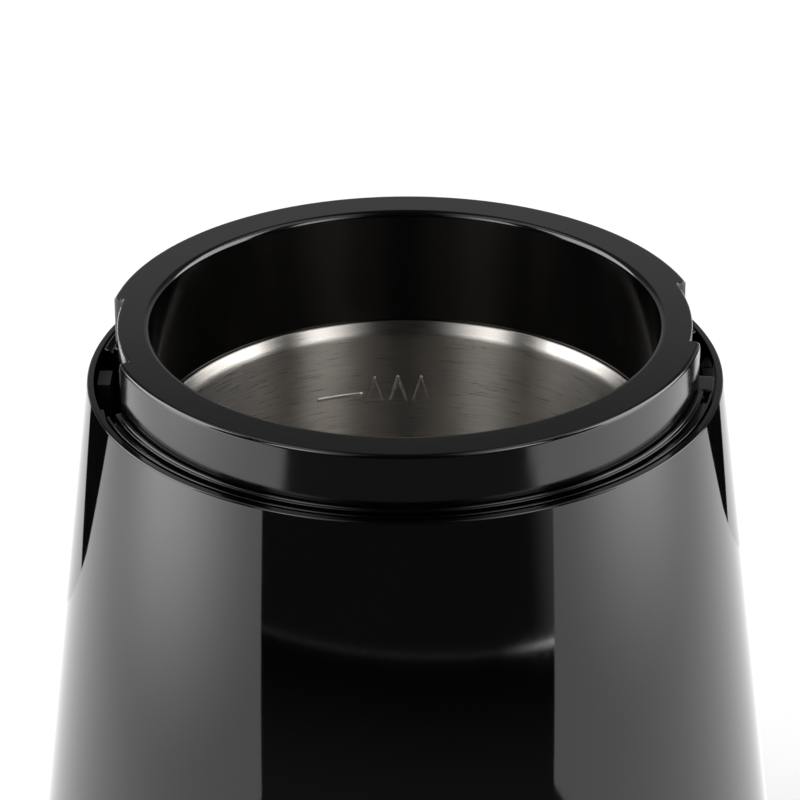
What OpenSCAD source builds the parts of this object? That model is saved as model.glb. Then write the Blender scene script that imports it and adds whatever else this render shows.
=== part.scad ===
// Blade coffee grinder base: tapered housing, bowl carrier with a bayonet collar, steel
// grinding bowl, blade, universal motor, lid interlock and base. Millimetres, +Z up,
// origin on the floor under the centre of the housing, front towards -Y.

/* [Overall] */
// Height from the floor to the top of the collar
total_h = 140; // [138:1:144]
// Gap under the housing, which is the height of the feet
foot_h = 3; // [2.5:0.5:4]

/* [Housing] */
// Outer radius at the top rim
rim_r = 43.35; // [43.2:0.05:44]
// How far the rim sits below the top of the collar
rim_drop = 8.15; // [8:0.05:8.4]
// Growth of the radius for each mm downward
taper = 0.12; // [0.11:0.005:0.13]
// Wall thickness
wall = 2.4; // [2.2:0.1:2.6]
// Rounding of the rim edges
rim_round = 0.28; // [0.2:0.02:0.35]

/* [Collar] */
// Outer radius at the top
collar_r = 40.2; // [39.8:0.1:40.3]
// Extra radius at the foot of the collar, from the moulding draft
collar_draft = 0.1; // [0:0.1:0.2]
// Inner radius of the mouth
mouth_r = 34.6; // [34.5:0.1:34.8]
// Radius of the floor of the two lid notches
notch_r = 39.1; // [38.5:0.1:39.2]
// Start and end angles of the left notch
notch_left = [169.2, 199.2];
// Start and end angles of the right notch
notch_right = [-11.7, 16.7];

/* [Bowl] */
// Inner depth from the rolled rim to the floor
bowl_depth = 42; // [40:1:42]
// Inner radius under the rim
bowl_r = 33.1; // [33:0.1:33.2]
// Sheet thickness
bowl_t = 0.6; // [0.5:0.1:0.7]
// Inner corner radius at the floor
bowl_corner = 10; // [8:1:11]

/* [Blade and shaft] */
// Radius from the axis to the blade tips
blade_tip_r = 28.5; // [26:0.5:29]
// Blade width
blade_w = 10; // [8:0.5:11]
// Blade thickness
blade_t = 1.2; // [1:0.1:1.5]
// Shaft radius
shaft_r = 3; // [2.9:0.05:3]
// Radial running clearance in the bearings
running_gap = 0.05; // [0.02:0.01:0.08]

/* [Motor] */
// Armature radius
armature_r = 15; // [14.5:0.1:15.1]
// Height of the lamination stacks
stack_h = 19; // [18:0.5:19]
// Commutator radius
commutator_r = 9.5; // [9:0.1:9.5]
// How far a carbon brush can be pushed back
brush_travel = 2.5; // [1.5:0.5:3]

/* [Lid interlock] */
// Angle of the plunger round the collar
interlock_angle = 178.5; // [178:0.5:181]
// How far the lid pushes the plunger down
plunger_travel = 4; // [3:0.5:4]

/* [Hidden] */
$fn = 96;
eps = 0.01;
gap = 0.02;

// Levels of the carrier, counted from the top of the collar downward
rim_z = total_h - rim_drop;
lip_z = total_h - 8.05;
ledge_z = total_h - 7.1;
step_z = total_h - 7.9;
groove_z = total_h - 8.9;
seat_z = total_h - 10.8;
bucket_z = total_h - 16;
bucket_t = 1.4;
bowl_rim_z = total_h - 17;
bowl_floor_z = bowl_rim_z - bowl_depth;
carrier_floor_z = bowl_floor_z - 1.4;
carrier_floor_t = 2.4;
carrier_under_z = carrier_floor_z - carrier_floor_t;

// Radii of the carrier
seat_r = 42.4;
flange_r = 42.1;
lip_inner_r = 41.8;
step_r = 40.9;
funnel_r = 36.6;
funnel_foot_r = 36;
insert_r = 41.1;

// Angles where the flange is open for the lid tabs, and where the tabs turn under it
well_left = [168.5, 196];
well_right = [-3, 17.5];
tab_turn = 19;
rib_right = [-10.5, -3];

// Housing fixings
carrier_screw_angles = [60, 130, 240, 310];
carrier_screw_r = 38.9;
lug_z = total_h - 23;
lug_h = 4;
base_screw_angles = [30, 150, 210, 330];
base_screw_r = 49;
foot_angles = [60, 120, 240, 300];
foot_ring_r = 47;
cover_t = 2.5;
cover_r = 55.8;
cover_top_z = foot_h + cover_t;
boss_h = 20;

// Cord inlet
inlet_z = 17;
inlet_bore_r = 3.4;
grommet_flange_r = 6.5;
grommet_neck_r = 5;
grommet_seat_y = 56.6;
grommet_inner_y = 52.5;
grommet_flange_t = 1.4;

// Motor levels, hung from the carrier
boss_drop = 3.7;
damper_h = 2;
plate_t = 2.5;
upper_plate_z = carrier_under_z - boss_drop - damper_h - plate_t;
bearing_h = 5.5;
fan_h = 5;
fan_r = 21;
fan_z = upper_plate_z - bearing_h - 1.5 - fan_h;
stack_top_z = fan_z - 5.5;
stack_z = stack_top_z - stack_h;
commutator_h = 11;
winding_h = 4.5;
commutator_z = stack_z - winding_h - 1.5 - commutator_h;
lower_plate_z = commutator_z - 5.5;
lower_bearing_z = lower_plate_z - 1.3;
lower_bearing_h = 5.3;
washer_h = 0.8;
brush_z = commutator_z + commutator_h / 2;
stator_inner_r = armature_r + 0.5;
yoke_r = 30;
yoke_flat = 26;
yoke_inner_r = 24.5;
post_ring_r = 27.2;
post_r = 3.2;
bolt_r = 1.7;
bolt_angles = [45, 135, 225, 315];
damper_angles = [0, 90, 180, 270];
damper_ring_r = 25;

// Blade stack
hub_flange_z = bowl_floor_z + 1;
hub_flange_t = 1.4;
hub_flange_r = 8.5;
sleeve_r = 6;
blade_z = hub_flange_z + hub_flange_t + 2.2;
blade_up_bend = 9;
blade_down_bend = 5;
thread_r = 2.5;

// Brushes
brush_w = 5;
brush_h = 6;
brush_len = 11;
brush_gap = 0.15;
brush_tail = commutator_r + brush_gap + brush_len;
holder_start = 11.5;
holder_end = 28.5;
plug_l = 1.5;

// Interlock, in a frame turned to the plunger's angle with x pointing outward
rod_x = 39.4;
rod_r = 1.7;
rod_tip_z = total_h - 56.6;
rod_top_z = total_h - 23;
guide_gap = 0.08;
guide_half = 3.4;
guide_outer_x = 42.2;
guide_low_z = total_h - 52;
guide_up_z = total_h - 32.2;
guide_h = 4;
plunger_top_z = total_h - 9.4;
plunger_half = 2.2;
plunger_x = [40.2, 42];
rod_collar_z = total_h - 34;
lever_arm = 12;
lever_len = 16.5;
lever_t = 0.5;
lever_z = total_h - 61;
lever_tilt = asin(plunger_travel / 2 / lever_arm);
lever_y = -lever_arm;
switch_x = 36.2;
switch_w = 6.4;
switch_y = -14;
switch_len = 20;
switch_z = total_h - 74;
switch_h = 10;
button_r = 0.9;
button_arm = 4;
lever_x = 37.7;
lever_w = 3.4;
pin_r = 0.6;
bracket_screw_x = 32.3;

// Outer radius of the housing at a height
function housing_r(z) = rim_r + taper * (rim_z - z);

// Points along an arc
function arc(cx, cy, r, a0, a1, n) =
    [for (i = [0 : n]) [cx + r * cos(a0 + (a1 - a0) * i / n), cy + r * sin(a0 + (a1 - a0) * i / n)]];

module ring(r_out, r_in, h) {
    difference() {
        cylinder(r = r_out, h = h);
        translate([0, 0, -1]) cylinder(r = r_in, h = h + 2);
    }
}

// A piece of a ring between two angles
module sector(r_in, r_out, angles, h) {
    steps = 8;
    turn = (angles[1] - angles[0]) / steps;
    far = r_out * 2;
    linear_extrude(height = h) intersection() {
        difference() {
            circle(r = r_out);
            circle(r = r_in);
        }
        polygon(concat([[0, 0]],
            [for (i = [0 : steps]) [far * cos(angles[0] + turn * i), far * sin(angles[0] + turn * i)]]));
    }
}

// Copies at several angles on a circle
module around(angles, r) {
    for (a = angles) rotate([0, 0, a]) translate([r, 0, 0]) children();
}

// A pan-head screw pointing up, its head's underside at the origin
module screw(head_r, head_h, shank_r, shank_l) {
    cylinder(r = shank_r, h = shank_l);
    difference() {
        translate([0, 0, -head_h]) cylinder(r = head_r, h = head_h);
        translate([-head_r * 0.6, -0.3, -head_h - eps]) cube([head_r * 1.2, 0.6, head_h * 0.45]);
        translate([-0.3, -head_r * 0.6, -head_h - eps]) cube([0.6, head_r * 1.2, head_h * 0.45]);
    }
}

// A tube along a list of points, with flat ends
module tube(points, r, sides) {
    n = len(points);
    function way(i) = let (
        a = points[max(i - 1, 0)], b = points[min(i + 1, n - 1)], d = b - a) d / norm(d);
    function side_dir(t) = let (
        up = abs(t[2]) < 0.9 ? [0, 0, 1] : [1, 0, 0], s = cross(t, up)) s / norm(s);
    rings = [for (i = [0 : n - 1]) let (t = way(i), u = side_dir(t), v = cross(t, u))
        for (k = [0 : sides - 1]) points[i] + r * (u * cos(360 * k / sides) + v * sin(360 * k / sides))];
    walls = [for (i = [0 : n - 2]) for (k = [0 : sides - 1]) let (m = (k + 1) % sides)
        [i * sides + k, (i + 1) * sides + k, (i + 1) * sides + m, i * sides + m]];
    start = [for (k = [0 : sides - 1]) k];
    finish = [for (k = [sides - 1 : -1 : 0]) (n - 1) * sides + k];
    polyhedron(points = rings, faces = concat(walls, [start], [finish]));
}

// A compression spring standing on the origin
module coil_spring(mean_r, wire_r, length, turns) {
    steps = 14;
    sides = 6;
    rise = length - 2 * wire_r;
    count = turns * steps;
    tube([for (i = [0 : count]) [mean_r * cos(360 * i / steps), mean_r * sin(360 * i / steps),
        wire_r + rise * i / count]], wire_r, sides);
}

// The interlock's own frame
module at_interlock() {
    rotate([0, 0, interlock_angle]) children();
}

module housing_shell() {
    edge = 0.8;
    rotate_extrude() polygon([
        [housing_r(foot_h) - edge, foot_h],
        [housing_r(foot_h + edge), foot_h + edge],
        [rim_r, rim_z - rim_round],
        [rim_r - rim_round, rim_z],
        [seat_r + rim_round, rim_z],
        [seat_r, rim_z - rim_round],
        [seat_r, seat_z],
        [housing_r(seat_z) - wall, seat_z],
        [housing_r(foot_h) - wall, foot_h]]);
}

module base_boss() {
    rib = 1.2;
    skin = 1.2;
    translate([base_screw_r, 0, cover_top_z]) cylinder(r = 4, h = boss_h);
    translate([0, rib, 0]) rotate([90, 0, 0]) linear_extrude(height = 2 * rib) polygon([
        [base_screw_r, cover_top_z],
        [housing_r(cover_top_z) - skin, cover_top_z],
        [housing_r(cover_top_z + boss_h) - skin, cover_top_z + boss_h],
        [base_screw_r, cover_top_z + boss_h]]);
}

module outer_housing() {
    lug_x = 37;
    relief = [interlock_angle - 9, interlock_angle + 9];
    relief_h = 18;
    color([0.02, 0.02, 0.022]) difference() {
        union() {
            housing_shell();
            for (a = base_screw_angles) rotate([0, 0, a]) base_boss();
            for (a = carrier_screw_angles) rotate([0, 0, a])
                translate([lug_x, -4, lug_z]) cube([housing_r(lug_z) - wall - lug_x + 1, 8, lug_h]);
            translate([0, grommet_inner_y, inlet_z]) rotate([-90, 0, 0]) cylinder(r = 8, h = 3.5);
        }
        around(carrier_screw_angles, carrier_screw_r) translate([0, 0, lug_z - 1])
            cylinder(r = 1.5, h = lug_h + 2);
        around(base_screw_angles, base_screw_r) translate([0, 0, cover_top_z - 1])
            cylinder(r = 1.25, h = 16);
        translate([0, 0, seat_z - relief_h]) sector(30, seat_r + 0.1, relief, relief_h + 1);
        translate([0, grommet_inner_y - 1, inlet_z]) rotate([-90, 0, 0])
            cylinder(r = grommet_neck_r, h = 10);
        translate([0, grommet_seat_y, inlet_z]) rotate([-90, 0, 0])
            cylinder(r = grommet_flange_r + 0.3, h = 10);
    }
}

module carrier_body() {
    top_round = 0.5;
    bevel = 0.8;
    rim_seat_r = 35.2;
    shoulder_r = 33.95;
    foot_in_r = 33.3;
    corner = 6;
    rotate_extrude() polygon(concat(
        [[mouth_r + bevel, total_h]],
        arc(collar_r - top_round, total_h - top_round, top_round, 90, 0, 4),
        [[collar_r + collar_draft, ledge_z],
        [collar_r + collar_draft + 0.15, ledge_z - 0.45],
        [step_r - 0.05, step_z + 0.05],
        [step_r, step_z - 0.05],
        [step_r, groove_z],
        [lip_inner_r, groove_z],
        [lip_inner_r, lip_z],
        [flange_r - 0.1, lip_z],
        [flange_r, lip_z - 0.1],
        [flange_r, seat_z],
        [funnel_r, seat_z],
        [funnel_foot_r, carrier_floor_z + corner],
        [funnel_foot_r - corner + 0.6, carrier_under_z],
        [sleeve_r + 0.1, carrier_under_z],
        [sleeve_r + 0.1, carrier_floor_z],
        [foot_in_r - corner, carrier_floor_z],
        [foot_in_r, carrier_floor_z + corner],
        [shoulder_r, bowl_rim_z - 2.4],
        [rim_seat_r, bowl_rim_z - 2.4],
        [rim_seat_r, bowl_rim_z + 0.5],
        [mouth_r, bowl_rim_z + 0.65],
        [mouth_r, total_h - bevel]]));
}

// Floor and end walls under a well, where a lid tab drops in and turns
module tab_bucket(well) {
    end_turn = 2.2;
    span = [well[0] - end_turn, well[1] + tab_turn];
    translate([0, 0, bucket_z - bucket_t]) sector(funnel_foot_r - 0.5, insert_r, span, bucket_t);
    translate([0, 0, bucket_z - eps])
        sector(funnel_foot_r - 0.5, insert_r, [span[0], well[0]], seat_z - bucket_z + 2 * eps);
    translate([0, 0, bucket_z - eps])
        sector(funnel_foot_r - 0.5, insert_r, [span[1] - end_turn, span[1]], seat_z - bucket_z + 2 * eps);
}

module rod_guide(z) {
    translate([funnel_foot_r - 0.6, -guide_half, z])
        cube([guide_outer_x - funnel_foot_r + 0.6, 2 * guide_half, guide_h]);
}

module bowl_carrier() {
    boss_top = total_h - 10;
    pad = [30.4, switch_y - 1, 5.6, switch_len + 2];
    color([0.03, 0.03, 0.032]) difference() {
        union() {
            carrier_body();
            tab_bucket(well_left);
            tab_bucket(well_right);
            translate([0, 0, groove_z - eps])
                sector(notch_r, flange_r - 0.05, rib_right, step_z - groove_z + eps);
            around(carrier_screw_angles, carrier_screw_r) translate([0, 0, lug_z + lug_h])
                cylinder(r = 2.2, h = boss_top - lug_z - lug_h);
            around(carrier_screw_angles, funnel_foot_r - 0.5) translate([0, -1, lug_z + lug_h])
                cube([2.5, 2, boss_top - lug_z - lug_h]);
            around(damper_angles, damper_ring_r) translate([0, 0, carrier_under_z - boss_drop])
                cylinder(r = 4.5, h = boss_drop + 1);
            at_interlock() rod_guide(guide_low_z);
            at_interlock() rod_guide(guide_up_z);
            at_interlock() translate([pad[0], pad[1], carrier_under_z])
                cube([pad[2] - 0.4, pad[3], 5.8]);
        }
        translate([0, 0, step_z]) sector(notch_r, seat_r, notch_left, total_h);
        translate([0, 0, step_z]) sector(notch_r, seat_r, notch_right, total_h);
        translate([0, 0, seat_z - 1]) sector(notch_r, seat_r + 1, well_left, total_h);
        translate([0, 0, seat_z - 1]) sector(notch_r, seat_r + 1, well_right, total_h);
        around(carrier_screw_angles, carrier_screw_r) translate([0, 0, lug_z + lug_h - 1])
            cylinder(r = 1, h = 9);
        around(damper_angles, damper_ring_r)
            translate([0, 0, carrier_under_z - boss_drop - 1]) cylinder(r = 1.2, h = boss_drop + 2.8);
        at_interlock() translate([rod_x, 0, guide_low_z - 1])
            cylinder(r = rod_r + guide_gap, h = guide_up_z - guide_low_z + guide_h + 2);
        at_interlock() translate([plunger_x[0] - 0.3, -plunger_half - 0.3, bucket_z - bucket_t - 1])
            cube([5, 2 * plunger_half + 0.6, bucket_t + 2]);
        at_interlock() for (y = [switch_y + 3, switch_y + switch_len - 3])
            translate([bracket_screw_x, y, carrier_under_z - 1]) cylinder(r = 1, h = 5.4);
    }
}

module carrier_screws() {
    color("silver") around(carrier_screw_angles, carrier_screw_r)
        translate([0, 0, lug_z]) screw(2.4, 1.6, 0.98, lug_h + 7);
}

module grinding_bowl() {
    bead_r = 0.7;
    bead_x = bowl_r + bead_r + 0.01;
    wall_foot_r = bowl_r - 0.7;
    out_corner = bowl_corner + bowl_t;
    cx = wall_foot_r - bowl_corner;
    cz = bowl_floor_z + bowl_corner;
    hub_r = 13;
    hub_rise = 1;
    color("silver") rotate_extrude() union() {
        translate([bead_x, bowl_rim_z - bead_r]) circle(r = bead_r);
        polygon(concat(
            [[bowl_r, bowl_rim_z - bead_r]],
            arc(cx, cz, bowl_corner, 0, -90, 10),
            [[hub_r + 1.5, bowl_floor_z],
            [hub_r, bowl_floor_z + hub_rise],
            [sleeve_r + 0.1, bowl_floor_z + hub_rise],
            [sleeve_r + 0.1, bowl_floor_z + hub_rise - bowl_t],
            [hub_r + 0.3, bowl_floor_z + hub_rise - bowl_t],
            [hub_r + 1.8, bowl_floor_z - bowl_t]],
            arc(cx, cz, out_corner, -90, 0, 10),
            [[bowl_r + bowl_t, bowl_rim_z - bead_r]]));
    }
}

module bowl_seal() {
    color("dimgray") translate([0, 0, bowl_rim_z - 2.38]) ring(34.3, 33.85, 0.95);
}

module bowl_hub() {
    seal_seat_z = bowl_floor_z - 4.5;
    color("darkgray") difference() {
        union() {
            translate([0, 0, hub_flange_z]) cylinder(r = hub_flange_r, h = hub_flange_t);
            translate([0, 0, carrier_under_z - 3.4]) cylinder(r = sleeve_r, h = hub_flange_z - carrier_under_z + 3.5);
        }
        translate([0, 0, carrier_under_z - 5]) cylinder(r = shaft_r + 0.4, h = 40);
        translate([0, 0, seal_seat_z]) cylinder(r = 4.6, h = 30);
    }
}

module bowl_nut() {
    color("silver") difference() {
        translate([0, 0, carrier_under_z - 3.2]) cylinder(r = 9.5, h = 3.2, $fn = 6);
        translate([0, 0, carrier_under_z - 5]) cylinder(r = sleeve_r, h = 10);
    }
}

module shaft_seal() {
    color([0.05, 0.05, 0.05]) translate([0, 0, bowl_floor_z - 4.5])
        ring(4.58, shaft_r + running_gap, 5.5);
}

// Side profile of the blade strip: a flat middle, one wing bent up and one bent down
module blade_profile() {
    flat_r = 7;
    tip_rise = (blade_tip_r - flat_r) * tan(blade_up_bend);
    tip_drop = (blade_tip_r - flat_r) * tan(blade_down_bend);
    polygon([
        [-blade_tip_r, -tip_drop], [-flat_r, 0], [flat_r, 0], [blade_tip_r, tip_rise],
        [blade_tip_r, tip_rise + blade_t], [flat_r, blade_t], [-flat_r, blade_t],
        [-blade_tip_r, blade_t - tip_drop]]);
}

// Outline of the blade seen from above: each tip is cut off at a slant towards its trailing side
module blade_outline() {
    half_w = blade_w / 2;
    slant = 6.5;
    polygon([
        [-blade_tip_r, half_w - 1.5], [-blade_tip_r + 1, half_w], [blade_tip_r - slant, half_w],
        [blade_tip_r, 1.5 - half_w], [blade_tip_r - 1, -half_w], [slant - blade_tip_r, -half_w]]);
}

// Two-winged steel blade with a hole for the threaded end of the shaft
module blade() {
    reach = 12;
    color("lightgray") translate([0, 0, blade_z]) difference() {
        intersection() {
            rotate([90, 0, 0]) translate([0, 0, -blade_w]) linear_extrude(2 * blade_w) blade_profile();
            translate([0, 0, -reach / 2]) linear_extrude(reach) blade_outline();
        }
        translate([0, 0, -reach / 2]) cylinder(r = thread_r + gap, h = reach);
    }
}

// Spacer collar under the blade
module blade_boss() {
    color("gray") translate([0, 0, hub_flange_z + hub_flange_t + 0.5])
        ring(5, shaft_r + gap, 1.7 - gap);
}

module blade_cap_nut() {
    nut_z = blade_z + blade_t;
    color("silver") translate([0, 0, nut_z]) difference() {
        union() {
            cylinder(r = 5.2, h = 2.6, $fn = 6);
            translate([0, 0, 2.6]) cylinder(r = 4.4, h = 0.8);
            translate([0, 0, 1.4]) intersection() {
                sphere(r = 4.4);
                translate([0, 0, 2]) cylinder(r = 6, h = 6);
            }
        }
        translate([0, 0, -1]) cylinder(r = thread_r, h = 4);
    }
}

module rotor_shaft() {
    color("silver") translate([0, 0, lower_bearing_z]) cylinder(r = shaft_r, h = blade_z - lower_bearing_z);
    color("silver") translate([0, 0, blade_z - eps]) cylinder(r = thread_r, h = blade_t + 2.6);
}

module armature_core() {
    slots = 12;
    slot_ring_r = 11.4;
    color("dimgray") translate([0, 0, stack_z]) linear_extrude(height = stack_h) difference() {
        circle(r = armature_r);
        circle(r = shaft_r);
        for (i = [0 : slots - 1]) rotate([0, 0, i * 360 / slots]) {
            translate([slot_ring_r, 0]) circle(r = 2.1);
            translate([slot_ring_r, -0.5]) square([10, 1]);
        }
    }
}

module armature_windings() {
    slots = 12;
    slot_ring_r = 11.4;
    color("peru") {
        for (i = [0 : slots - 1]) rotate([0, 0, i * 360 / slots])
            translate([slot_ring_r, 0, stack_z - 1]) cylinder(r = 1.95, h = stack_h + 2);
        translate([0, 0, stack_top_z + gap]) rotate_extrude() polygon([
            [4.2, 0], [13.6, 0], [13.6, 2.5], [11.5, winding_h], [5.5, winding_h], [4.2, 3.5]]);
        translate([0, 0, stack_z - winding_h - gap]) rotate_extrude() polygon([
            [4.2, 1], [5.5, 0], [11.5, 0], [13.6, 2], [13.6, winding_h], [4.2, winding_h]]);
    }
}

module commutator() {
    bars = 24;
    slit = 0.4;
    riser_h = 1.2;
    color("chocolate") translate([0, 0, commutator_z]) difference() {
        union() {
            cylinder(r = commutator_r, h = commutator_h);
            translate([0, 0, commutator_h - riser_h]) cylinder(r = commutator_r + 1, h = riser_h);
        }
        translate([0, 0, -1]) cylinder(r = shaft_r, h = commutator_h + 2);
        for (i = [0 : bars - 1]) rotate([0, 0, i * 360 / bars])
            translate([commutator_r - 0.7, -slit / 2, -1]) cube([3, slit, commutator_h + 2]);
    }
}

module cooling_fan() {
    vanes = 9;
    vane_t = 1.2;
    disc_t = 1.2;
    hub_r = 6;
    color("ivory") translate([0, 0, fan_z]) difference() {
        union() {
            cylinder(r = fan_r, h = disc_t);
            cylinder(r = hub_r, h = fan_h);
            for (i = [0 : vanes - 1]) rotate([0, 0, i * 360 / vanes])
                translate([hub_r - 1, -vane_t / 2, 0]) rotate([0, 0, 12]) cube([fan_r - hub_r, vane_t, fan_h]);
        }
        translate([0, 0, -1]) cylinder(r = shaft_r, h = fan_h + 2);
    }
}

module thrust_washer() {
    color("wheat") translate([0, 0, commutator_z - washer_h - 0.1]) ring(6, shaft_r, washer_h);
}

module upper_bearing() {
    color("silver") translate([0, 0, upper_plate_z - bearing_h + 0.2])
        ring(9.5, shaft_r + running_gap, bearing_h - 0.2);
}

module lower_bearing() {
    color("tan") translate([0, 0, lower_bearing_z]) ring(8, shaft_r + running_gap, lower_bearing_h);
}

module bracket_plate(z) {
    vent_r = 6;
    translate([0, 0, z]) difference() {
        cylinder(r = yoke_r + 0.5, h = plate_t);
        around([22.5, 67.5, 112.5, 157.5, 202.5, 247.5, 292.5, 337.5], 17.5)
            translate([0, 0, -1]) cylinder(r = vent_r / 2, h = plate_t + 2);
    }
}

module upper_motor_bracket() {
    color("silver") difference() {
        union() {
            bracket_plate(upper_plate_z);
            around(bolt_angles, post_ring_r) translate([0, 0, stack_top_z + gap])
                cylinder(r = post_r, h = upper_plate_z - stack_top_z);
            translate([0, 0, upper_plate_z - bearing_h]) cylinder(r = 12, h = bearing_h + eps);
        }
        translate([0, 0, upper_plate_z - bearing_h - 1]) cylinder(r = 9.5 + gap, h = bearing_h + 1);
        translate([0, 0, upper_plate_z - 1]) cylinder(r = 4.2, h = plate_t + 2);
        around(bolt_angles, post_ring_r) translate([0, 0, stack_top_z - 1])
            cylinder(r = bolt_r + 0.2, h = upper_plate_z - stack_top_z + plate_t + 2);
        around(damper_angles, damper_ring_r) translate([0, 0, upper_plate_z - 1])
            cylinder(r = 2, h = plate_t + 2);
    }
}

module lower_motor_bracket() {
    rest_l = 13;
    rest_y = 14;
    brush_under = brush_z - 4.5;
    color("silver") difference() {
        union() {
            bracket_plate(lower_plate_z);
            around(bolt_angles, post_ring_r) translate([0, 0, lower_plate_z])
                cylinder(r = post_r, h = stack_z - lower_plate_z - gap);
            translate([0, 0, lower_bearing_z]) cylinder(r = 10.5, h = lower_bearing_h);
            for (a = [0, 180]) rotate([0, 0, a]) translate([-5, rest_y, lower_plate_z + plate_t - eps])
                cube([10, rest_l, brush_under - lower_plate_z - plate_t]);
        }
        translate([0, 0, lower_bearing_z - 1]) cylinder(r = 8 + gap, h = lower_bearing_h + 2);
        around(bolt_angles, post_ring_r) translate([0, 0, lower_plate_z - 1])
            cylinder(r = bolt_r + 0.2, h = stack_z - lower_plate_z + 2);
    }
}

module stator_core() {
    neck_half = 8;
    shoe_r = 18;
    shoe_half = 55;
    color("slategray") translate([0, 0, stack_z]) difference() {
        union() {
            linear_extrude(height = stack_h) difference() {
                intersection() {
                    circle(r = yoke_r);
                    square([2 * yoke_r, 2 * yoke_flat], center = true);
                }
                circle(r = yoke_inner_r);
            }
            for (a = [0, 180]) {
                sector(stator_inner_r, shoe_r, [a - shoe_half, a + shoe_half], stack_h);
                rotate([0, 0, a]) translate([shoe_r - 1.5, -neck_half, 0])
                    cube([yoke_inner_r - shoe_r + 2, 2 * neck_half, stack_h]);
            }
        }
        translate([0, 0, -1]) cylinder(r = stator_inner_r, h = stack_h + 2);
        around(bolt_angles, post_ring_r) translate([0, 0, -1]) cylinder(r = bolt_r + 0.2, h = stack_h + 2);
    }
}

// A field coil round one pole, on the +X side
module field_coil() {
    overhang = 4;
    coil_half = 14;
    neck = 8.3;
    slack = 0.3;
    color("peru") translate([0, 0, stack_z - overhang]) intersection() {
        ring(yoke_inner_r - slack, 18 + slack, stack_h + 2 * overhang);
        difference() {
            translate([10, -coil_half, 0]) cube([12.3, 2 * coil_half, stack_h + 2 * overhang]);
            translate([5, -neck, overhang - slack]) cube([25, 2 * neck, stack_h + 2 * slack]);
        }
    }
}

module field_coil_right() {
    field_coil();
}

module field_coil_left() {
    rotate([0, 0, 180]) field_coil();
}

module motor_bolts() {
    color("silver") around(bolt_angles, post_ring_r) translate([0, 0, lower_plate_z])
        screw(3, 1.8, bolt_r, upper_plate_z + plate_t + 2 - lower_plate_z);
}

module motor_nuts() {
    color("silver") around(bolt_angles, post_ring_r) translate([0, 0, upper_plate_z + plate_t])
        difference() {
            cylinder(r = 3.2, h = 2.2, $fn = 6);
            translate([0, 0, -1]) cylinder(r = bolt_r, h = 5);
        }
}

module motor_dampers() {
    color([0.1, 0.1, 0.1]) around(damper_angles, damper_ring_r)
        translate([0, 0, upper_plate_z + plate_t]) ring(4.8, 2, damper_h);
}

module motor_mount_screws() {
    color("silver") around(damper_angles, damper_ring_r) translate([0, 0, upper_plate_z])
        screw(3.2, 1.8, 1.18, plate_t + damper_h + boss_drop + 1.5);
}

// Brush gear on the +Y side
module brush_holder() {
    color("goldenrod") translate([-4, holder_start, brush_z - 4.5]) difference() {
        cube([8, holder_end - holder_start, 9]);
        translate([4 - brush_w / 2 - 0.1, -1, 4.5 - brush_h / 2 - 0.1])
            cube([brush_w + 0.2, holder_end - holder_start + 2, brush_h + 0.2]);
    }
}

module carbon_brush() {
    color([0.15, 0.15, 0.16]) translate([-brush_w / 2, commutator_r + brush_gap, brush_z - brush_h / 2])
        cube([brush_w, brush_len, brush_h]);
}

module brush_spring() {
    color("silver") translate([0, brush_tail + 0.1, brush_z]) rotate([-90, 0, 0])
        coil_spring(1.9, 0.2, holder_end - plug_l - brush_tail - 0.2, 5);
}

module brush_cap() {
    color("saddlebrown") {
        translate([-4, holder_end, brush_z - 4.5]) cube([8, 1.2, 9]);
        translate([-brush_w / 2, holder_end - plug_l, brush_z - brush_h / 2])
            cube([brush_w, plug_l + eps, brush_h]);
    }
}

module front_side() {
    rotate([0, 0, 180]) children();
}

module brush_holder_rear() {
    brush_holder();
}

module brush_holder_front() {
    front_side() brush_holder();
}

module carbon_brush_rear() {
    carbon_brush();
}

module carbon_brush_front() {
    front_side() carbon_brush();
}

module brush_spring_rear() {
    brush_spring();
}

module brush_spring_front() {
    front_side() brush_spring();
}

module brush_cap_rear() {
    brush_cap();
}

module brush_cap_front() {
    front_side() brush_cap();
}

module interlock_plunger() {
    bridge_z = guide_up_z + guide_h + plunger_travel + 0.2;
    color("gray") at_interlock() {
        translate([plunger_x[0], -plunger_half, bridge_z])
            cube([plunger_x[1] - plunger_x[0], 2 * plunger_half, plunger_top_z - bridge_z]);
        translate([rod_x - rod_r, -plunger_half, bridge_z]) cube([3, 2 * plunger_half, 3]);
        translate([rod_x, 0, rod_tip_z]) cylinder(r = rod_r, h = bridge_z - rod_tip_z + 1);
        translate([rod_x, 0, rod_tip_z]) sphere(r = rod_r);
        translate([rod_x, 0, rod_collar_z]) cylinder(r = 2.9, h = 1.5);
    }
}

module plunger_spring() {
    spring_z = guide_low_z + guide_h + 0.1;
    color("silver") at_interlock() translate([rod_x, 0, spring_z])
        coil_spring(2.35, 0.25, rod_collar_z - 0.1 - spring_z, 8);
}

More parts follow.
